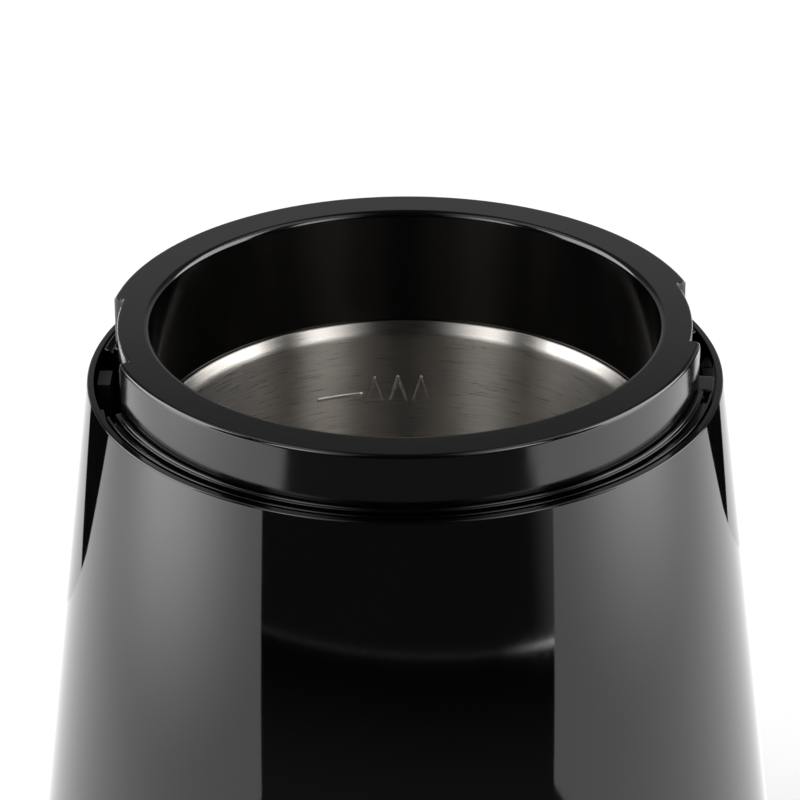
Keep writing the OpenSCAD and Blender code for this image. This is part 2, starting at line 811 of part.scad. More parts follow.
module switch_body() {
    ear_t = 0.8;
    ear_half = 1.3;
    color([0.12, 0.1, 0.1]) at_interlock() difference() {
        union() {
            translate([switch_x, switch_y, switch_z]) cube([switch_w, switch_len, switch_h]);
            for (x = [lever_x - 0.2 - ear_t, lever_x + lever_w + 0.2])
                translate([x, lever_y - ear_half, switch_z + switch_h - eps])
                    cube([ear_t, 2 * ear_half, lever_z + 1.3 - switch_z - switch_h]);
            for (y = [switch_y + 2, switch_y + switch_len / 2, switch_y + switch_len - 3])
                translate([switch_x + switch_w / 2 - 1.5, y, switch_z - 4]) cube([3, 0.6, 4 + eps]);
        }
        translate([switch_x - 1, lever_y, lever_z]) rotate([0, 90, 0]) cylinder(r = pin_r, h = 20);
        translate([rod_x, lever_y + button_arm, switch_z + switch_h - 4])
            cylinder(r = button_r + 0.08, h = 6);
        for (y = [switch_y + 3, switch_y + switch_len - 3])
            translate([switch_x - 1, y, switch_z + 3]) rotate([0, 90, 0]) cylinder(r = 1.3, h = 20);
    }
}

module switch_button() {
    button_top = lever_z + button_arm * tan(lever_tilt) - lever_t / 2 - 0.31;
    color("firebrick") at_interlock() translate([rod_x, lever_y + button_arm, switch_z + switch_h - 2])
        cylinder(r = button_r, h = button_top - switch_z - switch_h + 2);
}

module switch_lever() {
    color("silver") at_interlock() translate([lever_x, lever_y, lever_z]) rotate([lever_tilt, 0, 0])
        difference() {
            union() {
                translate([0, 0, -lever_t / 2]) cube([lever_w, lever_len, lever_t]);
                rotate([0, 90, 0]) cylinder(r = 1.2, h = lever_w);
            }
            translate([-1, 0, 0]) rotate([0, 90, 0]) cylinder(r = pin_r + 0.05, h = lever_w + 2);
        }
}

module lever_pin() {
    color("silver") at_interlock() translate([lever_x - 1, lever_y, lever_z]) rotate([0, 90, 0])
        cylinder(r = pin_r, h = lever_w + 2);
}

module switch_bracket() {
    plate = 1.8;
    color("silver") at_interlock() difference() {
        union() {
            translate([switch_x - plate, switch_y - 1, switch_z - 2])
                cube([plate, switch_len + 2, carrier_under_z - switch_z + 2]);
            translate([30.4, switch_y - 1, carrier_under_z - plate])
                cube([switch_x - 30.4, switch_len + 2, plate]);
        }
        for (y = [switch_y + 3, switch_y + switch_len - 3]) {
            translate([switch_x - plate - 1, y, switch_z + 3]) rotate([0, 90, 0])
                cylinder(r = 1.2, h = plate + 2);
            translate([bracket_screw_x, y, carrier_under_z - plate - 1]) cylinder(r = 1.2, h = plate + 2);
        }
    }
}

module switch_screws() {
    color("silver") at_interlock() for (y = [switch_y + 3, switch_y + switch_len - 3])
        translate([switch_x + switch_w, y, switch_z + 3]) rotate([0, -90, 0])
            screw(2.2, 1.3, 1.18, switch_w + 1.8);
}

module bracket_screws() {
    color("silver") at_interlock() for (y = [switch_y + 3, switch_y + switch_len - 3])
        translate([bracket_screw_x, y, carrier_under_z - 1.8]) screw(2, 1.3, 0.98, 5.6);
}

module suppression_capacitor() {
    color("goldenrod") translate([37, -9, cover_top_z + gap]) cube([7, 18, 13]);
}

module thermal_fuse() {
    color("beige") translate([20.6, -6, stack_z - 6.1]) rotate([-90, 0, 0]) {
        cylinder(r = 1.9, h = 12);
        translate([0, 0, -4]) cylinder(r = 0.4, h = 20);
    }
}

module terminal_block() {
    poles = 3;
    pitch = 8;
    color("white") translate([-poles * pitch / 2, -46, cover_top_z + gap]) difference() {
        cube([poles * pitch, 9, 10]);
        for (i = [0 : poles - 1]) {
            translate([pitch * (i + 0.5), -1, 4.5]) rotate([-90, 0, 0]) cylinder(r = 1.6, h = 11);
            translate([pitch * (i + 0.5), 4.5, 6]) cylinder(r = 2.2, h = 6);
        }
        for (i = [1 : poles - 1]) translate([pitch * i - 0.4, -1, 7]) cube([0.8, 11, 4]);
    }
}

module terminal_screws() {
    color("silver") for (x = [-8, 0, 8]) translate([x, -41.5, cover_top_z + 6.3 + gap]) difference() {
        cylinder(r = 2, h = 2);
        translate([-3, -0.3, 1.3]) cube([6, 0.6, 2]);
    }
}

// Insulated leads along hand-picked routes
module internal_leads() {
    lead_r = 1.1;
    sides = 6;
    terminal_to_switch = [[-8, -46.2, 10], [-9, -49, 10], [-14, -50, 11], [-24, -46, 13],
        [-34, -38, 18], [-42, -26, 29], [-43, -14, 42], [-41, -5, 53], [-39.5, -2.4, 61.9]];
    switch_to_brush = [[-39.4, 4.7, 61.9], [-40, 6, 52], [-40, 4, 38], [-36, -10, 27],
        [-28, -21, 22], [-14, -33, 21], [-5, -34, 21], [0, -31, 21]];
    terminal_to_field = [[8, -46.2, 10], [9, -49, 10], [15, -49, 11], [26, -42, 14],
        [36, -24, 22], [36, -12, 27], [30, -8, 28], [24, -6, 27.5]];
    terminal_to_inlet = [[0, -46.2, 10], [0, -49.5, 9], [6, -52, 7.4], [20, -47, 8],
        [30, -34, 8], [36, -21, 8], [46.5, -9, 7.2], [47, 0, 7.2], [46.5, 9, 7.2],
        [35, 20, 7.5], [33, 34, 8], [24, 41, 9], [15, 37, 11], [8, 36.4, 14], [4, 36, 16.5]];
    color("royalblue") {
        tube(terminal_to_switch, lead_r, sides);
        tube(switch_to_brush, lead_r, sides);
        tube(terminal_to_field, lead_r, sides);
        tube(terminal_to_inlet, lead_r, sides);
    }
}

module cover_vents() {
    slots = 20;
    for (i = [0 : slots - 1]) rotate([0, 0, i * 360 / slots])
        translate([16, -1.1, foot_h - 1]) cube([14, 2.2, cover_t + 2]);
}

module base_cover() {
    lip_h = 2;
    saddle = [24, 8];
    saddle_y = 39;
    color([0.05, 0.05, 0.05]) difference() {
        union() {
            translate([0, 0, foot_h]) cylinder(r = cover_r, h = cover_t);
            translate([0, 0, cover_top_z - eps]) ring(34.5, 33, lip_h);
            translate([-saddle[0] / 2, saddle_y, cover_top_z - eps])
                cube([saddle[0], saddle[1], inlet_z - 0.5 - cover_top_z]);
        }
        cover_vents();
        around(foot_angles, foot_ring_r) translate([0, 0, foot_h - 1]) cylinder(r = 2.6, h = cover_t + 2);
        around(base_screw_angles, base_screw_r) translate([0, 0, foot_h - 1])
            cylinder(r = 1.7, h = cover_t + 2);
        around(base_screw_angles, base_screw_r) translate([0, 0, foot_h - 1]) cylinder(r = 3.8, h = 2.2);
        translate([0, saddle_y - 1, inlet_z]) rotate([-90, 0, 0])
            cylinder(r = inlet_bore_r, h = saddle[1] + 2);
        for (x = [-8.5, 8.5]) translate([x, saddle_y + saddle[1] / 2, inlet_z - 9])
            cylinder(r = 1.2, h = 12);
    }
}

module base_screws() {
    color("silver") around(base_screw_angles, base_screw_r) translate([0, 0, foot_h + 1.2 - gap])
        screw(3.2, 1.1, 1.23, 14);
}

module rubber_feet() {
    color([0.08, 0.08, 0.08]) around(foot_angles, foot_ring_r) {
        rotate_extrude() polygon([[0, 0], [5.4, 0], [6, 0.6], [6, foot_h - gap], [0, foot_h - gap]]);
        cylinder(r = 2.5, h = cover_top_z + 0.2);
        translate([0, 0, cover_top_z + gap]) cylinder(r = 3.1, h = 1);
    }
}

module cord_grommet() {
    neck_slack = 0.1;
    neck_l = grommet_seat_y - grommet_inner_y;
    color([0.06, 0.06, 0.06]) translate([0, 0, inlet_z]) rotate([-90, 0, 0]) difference() {
        union() {
            translate([0, 0, grommet_inner_y - grommet_flange_t - gap])
                cylinder(r = grommet_flange_r, h = grommet_flange_t);
            translate([0, 0, grommet_inner_y - grommet_flange_t])
                cylinder(r = grommet_neck_r - neck_slack, h = neck_l + 2 * grommet_flange_t);
            translate([0, 0, grommet_seat_y + gap])
                cylinder(r = grommet_flange_r, h = grommet_flange_t);
        }
        translate([0, 0, grommet_inner_y - 3]) cylinder(r = inlet_bore_r, h = 12);
    }
}

module cord_clamp() {
    color([0.1, 0.1, 0.1]) difference() {
        translate([-12, 39, inlet_z + 0.5]) cube([24, 8, 4.5]);
        translate([0, 38, inlet_z]) rotate([-90, 0, 0]) cylinder(r = inlet_bore_r, h = 10);
        for (x = [-8.5, 8.5]) translate([x, 43, inlet_z]) cylinder(r = 1.4, h = 6);
    }
}

module clamp_screws() {
    color("silver") for (x = [-8.5, 8.5]) translate([x, 43, inlet_z + 5]) rotate([180, 0, 0])
        screw(2.4, 1.5, 1.18, 13);
}

outer_housing();
bowl_carrier();
carrier_screws();
grinding_bowl();
bowl_seal();
bowl_hub();
bowl_nut();
shaft_seal();
blade();
blade_boss();
blade_cap_nut();
rotor_shaft();
armature_core();
armature_windings();
commutator();
cooling_fan();
thrust_washer();
upper_bearing();
lower_bearing();
upper_motor_bracket();
lower_motor_bracket();
stator_core();
field_coil_left();
field_coil_right();
motor_bolts();
motor_nuts();
motor_dampers();
motor_mount_screws();
brush_holder_front();
brush_holder_rear();
carbon_brush_front();
carbon_brush_rear();
brush_spring_front();
brush_spring_rear();
brush_cap_front();
brush_cap_rear();
interlock_plunger();
plunger_spring();
switch_body();
switch_button();
switch_lever();
lever_pin();
switch_bracket();
switch_screws();
bracket_screws();
suppression_capacitor();
thermal_fuse();
terminal_block();
terminal_screws();
internal_leads();
base_cover();
base_screws();
rubber_feet();
cord_grommet();
cord_clamp();
clamp_screws();
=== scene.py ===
import math

import bmesh
import bpy
from mathutils import Matrix, Vector


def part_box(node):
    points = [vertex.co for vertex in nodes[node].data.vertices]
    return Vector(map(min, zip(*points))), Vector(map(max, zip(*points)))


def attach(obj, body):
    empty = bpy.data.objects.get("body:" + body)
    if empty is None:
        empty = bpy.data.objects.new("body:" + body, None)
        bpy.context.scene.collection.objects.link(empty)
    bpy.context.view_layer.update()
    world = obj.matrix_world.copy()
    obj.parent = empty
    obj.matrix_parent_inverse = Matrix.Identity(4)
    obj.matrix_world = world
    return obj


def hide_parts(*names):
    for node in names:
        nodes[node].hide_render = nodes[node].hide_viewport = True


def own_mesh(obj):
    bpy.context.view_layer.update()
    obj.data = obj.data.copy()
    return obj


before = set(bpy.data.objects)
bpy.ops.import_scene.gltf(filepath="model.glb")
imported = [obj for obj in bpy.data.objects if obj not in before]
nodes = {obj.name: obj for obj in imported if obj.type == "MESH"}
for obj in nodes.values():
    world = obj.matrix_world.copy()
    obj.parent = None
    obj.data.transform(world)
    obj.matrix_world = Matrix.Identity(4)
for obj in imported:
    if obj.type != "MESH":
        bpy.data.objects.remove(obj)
bpy.context.view_layer.update()

# The shapes below are drawn in millimetres, the stage in metres
MM = 0.001
# Radius of a corner that should look sharp
TINY = 0.02
# Distance from a round to the point that keeps the flat beside it flat
HOLD = 0.02


# ---------------------------------------------------------------- camera


def make_camera():
    """A long lens looking down on the collar, with a slight roll."""
    place = Vector((-0.0007, -0.5401, 0.4015))
    tilt, roll = math.radians(26.9), math.radians(-0.3)
    data = bpy.data.cameras.new("camera")
    data.sensor_width = 36
    data.lens = 199
    data.clip_start = 0.05
    data.clip_end = 20
    cam = bpy.data.objects.new("camera", data)
    look = Vector((0, math.cos(tilt), -math.sin(tilt)))
    turn = look.to_track_quat("-Z", "Y").to_matrix().to_4x4()
    cam.matrix_world = Matrix.Translation(place) @ turn @ Matrix.Rotation(roll, 4, "Z")
    bpy.context.scene.collection.objects.link(cam)
    bpy.context.scene.camera = cam


make_camera()


# ---------------------------------------------------------------- materials


class Graph:
    """Builds one node material round a Principled shader."""

    # Most of a noise texture's values lie between these
    NOISE_LOW, NOISE_HIGH = 0.3, 0.7

    def __init__(self, name):
        self.material = bpy.data.materials.new(name)
        self.material.use_nodes = True
        self.nodes = self.material.node_tree.nodes
        self.links = self.material.node_tree.links
        self.shader = self.nodes["Principled BSDF"]
        self.place = self.nodes.new("ShaderNodeTexCoord").outputs["Object"]

    def node(self, kind, inputs=(), **options):
        made = self.nodes.new(kind)
        for key, value in options.items():
            setattr(made, key, value)
        for key, value in dict(inputs).items():
            if isinstance(value, bpy.types.NodeSocket):
                self.links.new(value, made.inputs[key])
            else:
                made.inputs[key].default_value = value
        return made

    def math(self, operation, a, b=0.0):
        return self.node("ShaderNodeMath", {0: a, 1: b}, operation=operation).outputs[0]

    def scaled(self, vector, scale):
        made = self.node("ShaderNodeVectorMath", {0: vector, 1: scale}, operation="MULTIPLY")
        return made.outputs[0]

    def noise(self, vector, scale, detail=4.0, roughness=0.55):
        inputs = {"Vector": vector, "Scale": scale, "Detail": detail, "Roughness": roughness}
        return self.node("ShaderNodeTexNoise", inputs).outputs["Fac"]

    def span(self, value, low, high):
        """A noise value spread from low to high."""
        inputs = {0: value, 1: self.NOISE_LOW, 2: self.NOISE_HIGH, 3: low, 4: high}
        return self.node("ShaderNodeMapRange", inputs, clamp=True).outputs[0]

    def shades(self, value, dark, light):
        """A noise value spread from a dark to a light colour."""
        ramp = self.node("ShaderNodeValToRGB", {0: value})
        ends = ((self.NOISE_LOW, dark), (self.NOISE_HIGH, light))
        for stop, (position, colour) in zip(ramp.color_ramp.elements, ends):
            stop.position = position
            stop.color = (*colour, 1)
        return ramp.outputs["Color"]

    def ring_place(self, along, across):
        """Coordinates for streaks round the vertical axis: direction times along,
        and height plus radius times across."""
        parts = self.node("ShaderNodeSeparateXYZ", {0: self.place}).outputs
        flat = self.node("ShaderNodeCombineXYZ", {0: parts[0], 1: parts[1]}).outputs[0]
        length = self.node("ShaderNodeVectorMath", {0: flat}, operation="LENGTH").outputs["Value"]
        way = self.node("ShaderNodeVectorMath", {0: flat}, operation="NORMALIZE").outputs[0]
        way = self.node("ShaderNodeSeparateXYZ", {0: way}).outputs
        depth = self.math("MULTIPLY", self.math("ADD", length, parts[2]), across)
        round_x, round_y = (self.math("MULTIPLY", way[i], along) for i in (0, 1))
        return self.node("ShaderNodeCombineXYZ", {0: round_x, 1: round_y, 2: depth}).outputs[0]

    def set(self, **values):
        for key, value in values.items():
            name = key.replace("_", " ")
            if name == "Base Color" and not isinstance(value, bpy.types.NodeSocket):
                value = (*value, 1)
            if isinstance(value, bpy.types.NodeSocket):
                self.links.new(value, self.shader.inputs[name])
            else:
                self.shader.inputs[name].default_value = value

    def bump(self, height, strength, distance):
        inputs = {"Height": height, "Strength": strength, "Distance": distance}
        made = self.node("ShaderNodeBump", inputs)
        self.links.new(made.outputs[0], self.shader.inputs["Normal"])


def gloss_plastic(name, tone, rough, bend):
    """Polished dark moulding: faint flow marks and fine dust in the gloss."""
    g = Graph(name)
    flow = g.noise(g.place, 35.0, 2.0)
    dust = g.noise(g.place, 1400.0, 3.0)
    g.set(
        Base_Color=g.shades(flow, [c * 0.85 for c in tone], [c * 1.15 for c in tone]),
        Roughness=g.span(dust, *rough),
        IOR=bend,
    )
    g.bump(flow, 0.08, 0.00002)
    return g.material


def brushed_ring(name, dark, light, rough, relief, along=3.0, across=4200.0, anisotropy=0.0):
    """Metal brushed or turned round the vertical axis."""
    g = Graph(name)
    lines = g.noise(g.ring_place(along, across), 1.0, 4.0, 0.65)
    soft = g.noise(g.place, 60.0, 2.0)
    mixed = g.math("ADD", g.math("MULTIPLY", lines, 0.6), g.math("MULTIPLY", soft, 0.4))
    g.set(
        Base_Color=g.shades(mixed, dark, light),
        Roughness=g.span(lines, *rough),
        Metallic=1.0,
        Anisotropic=anisotropy,
        Anisotropic_Rotation=0.25,
    )
    if anisotropy:
        tangent = g.node("ShaderNodeTangent", direction_type="RADIAL", axis="Z")
        g.links.new(tangent.outputs[0], g.shader.inputs["Tangent"])
    g.bump(lines, 0.5, relief)
    return g.material


def banded(name, dark, light, axis, period, metallic, rough, relief):
    """Stacked sheets across an axis, or wire wound in a ring: fine regular ridges."""
    g = Graph(name)
    ring = axis == "ring"
    wave = g.node(
        "ShaderNodeTexWave",
        {"Vector": g.place, "Scale": 0.314 / period, "Distortion": 0.6, "Detail": 2.0, "Detail Scale": 1.0},
        wave_type="RINGS" if ring else "BANDS",
        bands_direction="Z" if ring else axis,
        rings_direction="Z",
    ).outputs["Fac"]
    soft = g.noise(g.place, 300.0, 3.0)
    mixed = g.math("ADD", g.math("MULTIPLY", wave, 0.7), g.math("MULTIPLY", soft, 0.3))
    g.set(Base_Color=g.shades(mixed, dark, light), Roughness=g.span(soft, *rough), Metallic=metallic)
    g.bump(wave, 0.6, relief)
    return g.material


def grain(name, dark, light, metallic, rough, scale, relief=0.00003, stretch=(1, 1, 1)):
    """Moulded, cast or ground surface: two shades and a fine relief."""
    g = Graph(name)
    place = g.scaled(g.place, stretch)
    broad = g.noise(place, scale * 0.12, 3.0)
    fine = g.noise(place, scale, 5.0)
    g.set(Base_Color=g.shades(broad, dark, light), Roughness=g.span(fine, *rough), Metallic=metallic)
    g.bump(fine, 0.35, relief)
    return g.material


# Colour, roughness from and to, index of refraction
POLISHED = {
    "housing_gloss": ((0.0009, 0.0009, 0.00095), (0.03, 0.045), 1.5),
    "carrier_gloss": ((0.0007, 0.0007, 0.00075), (0.1, 0.14), 1.6),
}
# Dark and light shade, roughness from and to, relief; then how fine the streaks are along
# and across, and the anisotropy
TURNED = {
    "bowl_steel": (
        (0.34, 0.32, 0.296), (0.58, 0.553, 0.517), (0.26, 0.33), 0.000004, 7.0, 6500.0, 0.95
    ),
    "hub_aluminium": ((0.5, 0.5, 0.5), (0.7, 0.7, 0.71), (0.25, 0.4), 0.00002),
    "shaft_steel": ((0.42, 0.42, 0.43), (0.62, 0.62, 0.63), (0.15, 0.3), 0.00001),
    "commutator_copper": ((0.5, 0.22, 0.12), (0.75, 0.4, 0.25), (0.2, 0.4), 0.00002),
    "bearing_bronze": ((0.35, 0.22, 0.1), (0.55, 0.38, 0.2), (0.3, 0.5), 0.00003),
}
# Dark and light shade, way across the ridges, their spacing, metallic, roughness from and
# to, relief
RIDGED = {
    "lamination_steel": ((0.12, 0.12, 0.13), (0.34, 0.34, 0.36), "Z", 0.0005, 1.0, (0.35, 0.55), 0.0001),
    "copper_wire": ((0.35, 0.1, 0.035), (0.78, 0.34, 0.15), "ring", 0.0007, 0.9, (0.2, 0.35), 0.0002),
}
# Dark and light shade, metallic, roughness from and to, fineness of the grain, relief,
# stretch of the grain
GRAINED = {
    "blade_steel": (
        (0.55, 0.54, 0.52), (0.72, 0.71, 0.69), 1.0, (0.18, 0.34), 500, 0.00003, (1, 14, 6)
    ),
    "seal_rubber": ((0.012, 0.012, 0.012), (0.03, 0.03, 0.03), 0, (0.6, 0.8), 1500),
    "fan_nylon": ((0.55, 0.54, 0.5), (0.7, 0.69, 0.64), 0, (0.4, 0.6), 700),
    "bracket_alloy": ((0.42, 0.42, 0.43), (0.6, 0.6, 0.61), 1.0, (0.35, 0.55), 1100, 0.00006),
    "zinc_screw": ((0.5, 0.5, 0.49), (0.72, 0.72, 0.7), 1.0, (0.2, 0.38), 1200, 0.00002),
    "carbon": ((0.012, 0.012, 0.013), (0.035, 0.035, 0.037), 0.2, (0.4, 0.6), 1800),
    "brass": ((0.55, 0.38, 0.12), (0.75, 0.56, 0.24), 1.0, (0.2, 0.35), 900, 0.00002),
    "phenolic": ((0.05, 0.022, 0.012), (0.1, 0.045, 0.025), 0, (0.3, 0.5), 800),
    "spring_steel": ((0.35, 0.35, 0.37), (0.55, 0.55, 0.57), 1.0, (0.2, 0.35), 2000, 0.00001),
    "plunger_plastic": ((0.004, 0.004, 0.0043), (0.008, 0.008, 0.0085), 0, (0.42, 0.55), 1300, 0.00002),
    "button_red": ((0.35, 0.02, 0.015), (0.5, 0.04, 0.03), 0, (0.3, 0.45), 900),
    "capacitor_yellow": ((0.6, 0.38, 0.04), (0.75, 0.5, 0.08), 0, (0.25, 0.4), 600),
    "fuse_ceramic": ((0.7, 0.68, 0.62), (0.85, 0.83, 0.78), 0, (0.3, 0.5), 900),
    "terminal_white": ((0.68, 0.67, 0.63), (0.8, 0.79, 0.76), 0, (0.35, 0.5), 900),
    "lead_insulation": ((0.02, 0.04, 0.12), (0.035, 0.07, 0.2), 0, (0.3, 0.45), 1100),
    "base_black": ((0.009, 0.009, 0.0095), (0.018, 0.018, 0.019), 0, (0.38, 0.55), 1600, 0.00005),
    "foot_rubber": ((0.016, 0.016, 0.016), (0.04, 0.04, 0.039), 0, (0.6, 0.85), 1300, 0.00006),
}


def make_materials():
    made = {}
    for make, table in (
        (gloss_plastic, POLISHED),
        (brushed_ring, TURNED),
        (banded, RIDGED),
        (grain, GRAINED),
    ):
        for name, values in table.items():
            made[name] = make(name, *values)
    return made


MATERIALS = make_materials()


def paint_cad():
    """Gives every carried-over CAD node its node material by slot."""
    for obj in nodes.values():
        for i, old in enumerate(obj.data.materials):
            obj.data.materials[i] = MATERIALS[old.name.split(".")[0]]


paint_cad()


# ---------------------------------------------------------------- mesh helpers


def make_mesh(name, points, faces):
    """A mesh from points in millimetres, with its faces turned outward."""
    mesh = bpy.data.meshes.new(name)
    mesh.from_pydata([(x * MM, y * MM, z * MM) for x, y, z in points], [], faces)
    mesh.validate()
    work = bmesh.new()
    work.from_mesh(mesh)
    bmesh.ops.recalc_face_normals(work, faces=work.faces)
    work.to_mesh(mesh)
    work.free()
    return mesh


def add_piece(name, points, faces, slot, sharp=34.0):
    """A new piece of the object, shaded smooth except over sharp edges."""
    mesh = make_mesh(name, points, faces)
    mesh.materials.append(MATERIALS[slot])
    mesh.polygons.foreach_set("use_smooth", [True] * len(mesh.polygons))
    mesh.set_sharp_from_angle(angle=math.radians(sharp))
    obj = bpy.data.objects.new(name, mesh)
    bpy.context.scene.collection.objects.link(obj)
    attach(obj, "base")
    return obj


def join_corners(obj):
    """Makes one point of the points that faces of a CAD node share."""
    change = obj.modifiers.new("join_corners", "WELD")
    change.merge_threshold = 1e-6


def even_shading(obj):
    """Lets the large faces set the shading, so flats stay flat beside narrow rounds."""
    change = obj.modifiers.new("even_shading", "WEIGHTED_NORMAL")
    change.keep_sharp = True
    change.weight = 100


def round_off(here, to_last, to_next, radius, steps):
    """The points of one rounded corner, with a point on the flat at both ends of the arc.
    A corner that hardly turns gets as many points, in a straight row."""
    half = to_last.angle(to_next) / 2
    if half > math.radians(86):
        flat = radius
        arc = [here + to_last * (radius * (1 - k / steps)) for k in range(steps + 1)]
    else:
        flat = radius / math.tan(half)
        centre = here + (to_last + to_next).normalized() * (radius / math.sin(half))
        first, last = here + to_last * flat - centre, here + to_next * flat - centre
        turn = math.pi - 2 * half
        arc = []
        for k in range(steps + 1):
            before, after = (math.sin(turn * n / steps) for n in (steps - k, k))
            arc.append(centre + (first * before + last * after) / math.sin(turn))
    return [here + to_last * (flat + HOLD)] + arc + [here + to_next * (flat + HOLD)]


def rounded(corners, steps=6):
    """Closed profile (r, z) from its corners (r, z, radius)."""
    points = []
    for i, (r, z, radius) in enumerate(corners):
        here = Vector((r, z))
        to_last = (Vector(corners[i - 1][:2]) - here).normalized()
        to_next = (Vector(corners[(i + 1) % len(corners)][:2]) - here).normalized()
        points += [tuple(p) for p in round_off(here, to_last, to_next, radius, steps)]
    return points


def wrap(sections):
    """Points and faces of a ring, from a list of (azimuth, closed profile)."""
    points = []
    size = len(sections[0][1])
    for azimuth, profile in sections:
        c, s = math.cos(azimuth), math.sin(azimuth)
        points += [(r * c, r * s, z) for r, z in profile]
    faces = []
    rows = len(sections)
    for i in range(rows):
        a, b = i * size, (i + 1) % rows * size
        for k in range(size):
            n = (k + 1) % size
            faces.append((a + k, a + n, b + n, b + k))
    return points, faces


def turned(profile, segments, start=0.0):
    """Points and faces of a closed profile turned round the vertical axis."""
    return wrap([(math.tau * (i + start) / segments, profile) for i in range(segments)])


def tube(rows, sides):
    """Faces of a closed tube whose points come in rows of the same number of sides."""
    faces = [
        (i * sides + k, i * sides + (k + 1) % sides, (i + 1) * sides + (k + 1) % sides, (i + 1) * sides + k)
        for i in range(rows - 1)
        for k in range(sides)
    ]
    last = (rows - 1) * sides
    return faces + [tuple(range(sides)), tuple(range(last, last + sides))]


def cut(obj, name, points, faces):
    """Takes a hidden closed shape out of an object."""
    cutter = bpy.data.objects.new(name, make_mesh(name, points, faces))
    bpy.context.scene.collection.objects.link(cutter)
    cutter.hide_render = True
    cutter.hide_viewport = True
    change = obj.modifiers.new(name, "BOOLEAN")
    change.operation = "DIFFERENCE"
    change.solver = "EXACT"
    change.object = cutter


def cut_away(node, profile, segments=180):
    """Hides the part of a CAD node inside a turned profile, where a finer piece takes its place."""
    join_corners(nodes[node])
    cut(nodes[node], node + "_cutter", *turned(profile, segments, 0.5))


# ---------------------------------------------------------------- housing skin

# Top of the collar
TOP = 140.0
# Top edge of the housing, and how much its radius grows for each mm further down
RIM_R, RIM_Z, TAPER = 43.35, 131.85, 0.12
RIM_INNER_R, RIM_UNDER_Z = 42.4, 129.0
FOOT_Z = 3.0
SKIN = 1.0
# Seat of the cord bush in the back of the housing
INLET_R, INLET_Z, INLET_RUN = 6.8, 17.0, (50.0, 64.0)


def housing_r(z):
    """Outer radius of the tapered housing at a height."""
    return RIM_R + TAPER * (RIM_Z - z)


def housing_skin():
    """Outer layer of the housing, with softened edges and a hole for the cord bush."""
    corners = [
        (RIM_INNER_R, RIM_Z, 0.14),
        (RIM_INNER_R, RIM_UNDER_Z, TINY),
        (housing_r(RIM_UNDER_Z) - SKIN, RIM_UNDER_Z, TINY),
        (housing_r(FOOT_Z) - SKIN, FOOT_Z, TINY),
        (housing_r(FOOT_Z), FOOT_Z, 0.8),
        (RIM_R, RIM_Z, 0.28),
    ]
    obj = add_piece("housing_skin", *turned(rounded(corners), 720), "housing_gloss")
    sides = 96
    turns = [math.tau * i / sides for i in range(sides)]
    points = [
        (INLET_R * math.cos(a), y, INLET_Z + INLET_R * math.sin(a)) for y in INLET_RUN for a in turns
    ]
    cut(obj, "inlet_cutter", points, tube(2, sides))
    even_shading(obj)


housing_skin()
# The CAD housing loses everything from the skin's inner face outward
BEYOND_R, BELOW_Z, ABOVE_Z = 70.0, 2.0, 134.0
cut_away(
    "outer_housing",
    [
        (housing_r(BELOW_Z) - SKIN, BELOW_Z),
        (BEYOND_R, BELOW_Z),
        (BEYOND_R, ABOVE_Z),
        (41.0, ABOVE_Z),
        (41.0, RIM_UNDER_Z),
        (housing_r(RIM_UNDER_Z) - SKIN, RIM_UNDER_Z),
    ],
)


# ---------------------------------------------------------------- collar

MOUTH_R, COLLAR_R, NOTCH_R = 34.6, 40.45, 39.0
# Ledge round the collar, the groove in it, the lip outside the groove, and the underside
FLOOR_Z, GROOVE_Z, LIP_Z, SEAT_Z = 132.1, 131.1, 131.95, 129.2
GROOVE_IN_R, GROOVE_OUT_R, LEDGE_R = 40.9, 41.8, 42.1
SPIGOT_R, SPIGOT_Z = 35.15, 122.9

# Profiles (r, z, radius) of the collar at four places; all have the same number of corners
MOUTH = [(MOUTH_R, TOP, 0.8), (NOTCH_R - 0.7, TOP, TINY)]
UNDER = [(SPIGOT_R, SEAT_Z, TINY), (SPIGOT_R, SPIGOT_Z, TINY), (MOUTH_R, SPIGOT_Z, TINY)]
GROOVE = [
    (GROOVE_IN_R, FLOOR_Z, 0.08),
    (GROOVE_IN_R, GROOVE_Z, 0.1),
    (GROOVE_OUT_R, GROOVE_Z, 0.1),
    (GROOVE_OUT_R, LIP_Z, 0.07),
    (LEDGE_R, LIP_Z, 0.07),
    (LEDGE_R, SEAT_Z, 0.1),
]
WALL_STEPS = (132.2, 131.7, 131.3, 130.9, 130.5, 130.0, SEAT_Z)
RIB_STEPS = (40.3, 40.8, 41.2, 41.6, 42.05)

PLAIN = MOUTH + [(COLLAR_R, TOP, 0.5), (COLLAR_R, FLOOR_Z, 0.15)] + GROOVE + UNDER
NOTCH = MOUTH + [(NOTCH_R, TOP, 0.3), (NOTCH_R, FLOOR_Z, 0.25)] + GROOVE + UNDER
WELL = MOUTH + [(NOTCH_R, TOP, 0.3)] + [(NOTCH_R, z, 0.1) for z in WALL_STEPS] + UNDER
RIB = MOUTH + [(NOTCH_R, TOP, 0.3), (NOTCH_R, FLOOR_Z, 0.25)]
RIB += [(r, FLOOR_Z, 0.1) for r in RIB_STEPS] + [(LEDGE_R, SEAT_Z, 0.1)] + UNDER

# Where each profile starts, going round the collar in degrees; half the run of the change
# in mm; and its form, from 0.3 for two tight rounds to 1 for an even slant
SPANS = [
    (-2.9, WELL, 0.42, 0.35),
    (15.9, PLAIN, 0.35, 0.8),
    (170.3, WELL, 0.35, 0.8),
    (198.2, NOTCH, 0.25, 0.35),
    (199.6, PLAIN, 0.5, 0.35),
    (348.8, NOTCH, 0.5, 0.35),
    (350.4, RIB, 0.3, 0.35),
]
# Shares of the half run at which the change is worked out
STEPS = (0.02, 0.08, 0.18, 0.32, 0.5, 0.75, 1.0)


def blended(before, after, share):
    """A profile between two others."""
    return [(a[0] + (b[0] - a[0]) * share, a[1] + (b[1] - a[1]) * share) for a, b in zip(before, after)]


